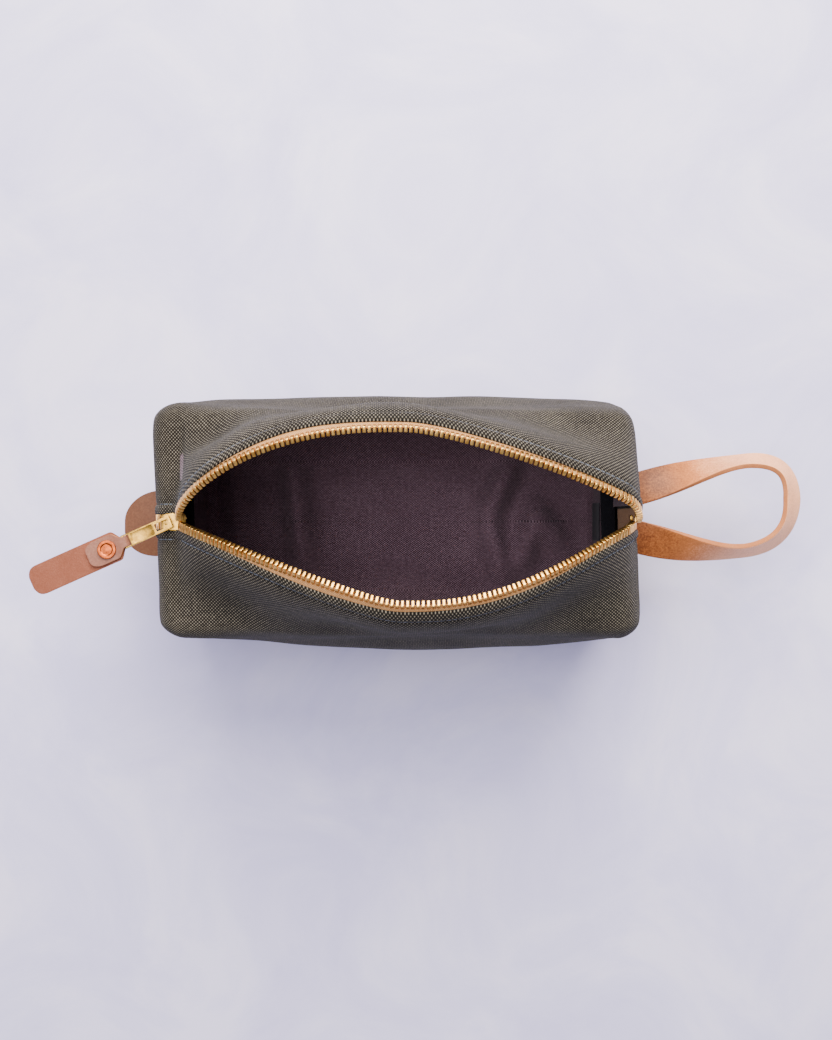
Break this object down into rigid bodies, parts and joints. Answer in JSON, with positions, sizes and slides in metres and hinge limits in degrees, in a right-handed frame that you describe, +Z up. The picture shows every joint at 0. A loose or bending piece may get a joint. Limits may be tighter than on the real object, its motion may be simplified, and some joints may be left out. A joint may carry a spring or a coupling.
{
  "type": "shaving kit bag",
  "caption": "Boxed canvas kit bag with an open zip mouth, lined inside, with a zip slider and pull, a leather end tab and a leather wrist strap.",
  "frame": {"origin": "middle of the flat base, on the surface the bag stands on", "axes": "+X along the zip from the end tab towards the wrist strap, +Y towards the back, +Z up out of the mouth"},
  "size_m": [0.4306, 0.127, 0.1828],
  "materials": {
    "waxed_canvas": "waxed olive-grey plain weave, dull",
    "lining_canvas": "plum-grey plain weave, matt",
    "zip_tape": "tan woven tape",
    "brass": "polished golden brass",
    "veg_tan_leather": "smooth natural vegetable-tanned leather",
    "copper": "satin copper",
    "seam_binding": "black woven binding"
  },
  "bodies": {
    "bag": {"outer_canvas": "waxed_canvas", "lining": "lining_canvas", "front_top_stop": "brass", "back_top_stop": "brass", "bottom_stop": "brass", "left_end_binding": "seam_binding", "right_end_binding": "seam_binding", "front_left_binding": "seam_binding", "front_right_binding": "seam_binding", "back_left_binding": "seam_binding", "back_right_binding": "seam_binding", "inner_label": "seam_binding"},
    "front_lip": {"front_canvas_lip": "waxed_canvas", "front_lining_lip": "lining_canvas", "front_zip_tape": "zip_tape", "front_tooth_chain": "brass"},
    "back_lip": {"back_canvas_lip": "waxed_canvas", "back_lining_lip": "lining_canvas", "back_zip_tape": "zip_tape", "back_tooth_chain": "brass"},
    "slider": {"slider_body": "brass", "slider_crown": "brass"},
    "pull": {"zip_pull": "brass"},
    "leather_pull": {"pull_strap": "veg_tan_leather", "rivet": "copper", "rivet_burr": "copper"},
    "tab": {"end_tab": "veg_tan_leather"},
    "strap": {"handle_strap": "veg_tan_leather"}
  },
  "joints": [
    {"name": "slider_travel", "type": "slide", "parent": "bag", "child": "slider", "axis": [1, 0, 0], "range_m": [0, 0.2239]},
    {"name": "front_lip_close", "type": "hinge", "parent": "bag", "child": "front_lip", "pos_m": [0, -0.06135, 0.12485], "axis": [1, 0, 0], "range_deg": [-68.61, 0], "deforming": ["front_canvas_lip", "front_lining_lip", "front_zip_tape", "front_tooth_chain"]},
    {"name": "back_lip_close", "type": "hinge", "parent": "bag", "child": "back_lip", "pos_m": [0, 0.06135, 0.12485], "axis": [1, 0, 0], "range_deg": [0, 74.01], "deforming": ["back_canvas_lip", "back_lining_lip", "back_zip_tape", "back_tooth_chain"]},
    {"name": "pull_swing", "type": "hinge", "parent": "slider", "child": "pull", "pos_m": [-0.1195, 0, 0.13015], "axis": [0.4067, -0.9135, 0], "range_deg": [-135, 0]},
    {"name": "leather_pull_swing", "type": "hinge", "parent": "pull", "child": "leather_pull", "pos_m": [-0.14325, -0.01057, 0.13015], "axis": [0.4067, -0.9135, 0], "range_deg": [-60, 30]},
    {"name": "tab_flex", "type": "hinge", "parent": "bag", "child": "tab", "pos_m": [-0.127, 0, 0.0635], "axis": [0, 1, 0], "range_deg": [-30, 30], "stiffness_Nm_per_rad": 0.25},
    {"name": "strap_flex", "type": "hinge", "parent": "bag", "child": "strap", "pos_m": [0.127, 0, 0.0635], "axis": [0, 1, 0], "range_deg": [-35, 30], "stiffness_Nm_per_rad": 0.6}
  ],
  "couplings": [
    {"joint": "front_lip_close", "follows": "slider_travel", "rad_per_m": -5.3475},
    {"joint": "back_lip_close", "follows": "slider_travel", "rad_per_m": 5.7684}
  ]
}
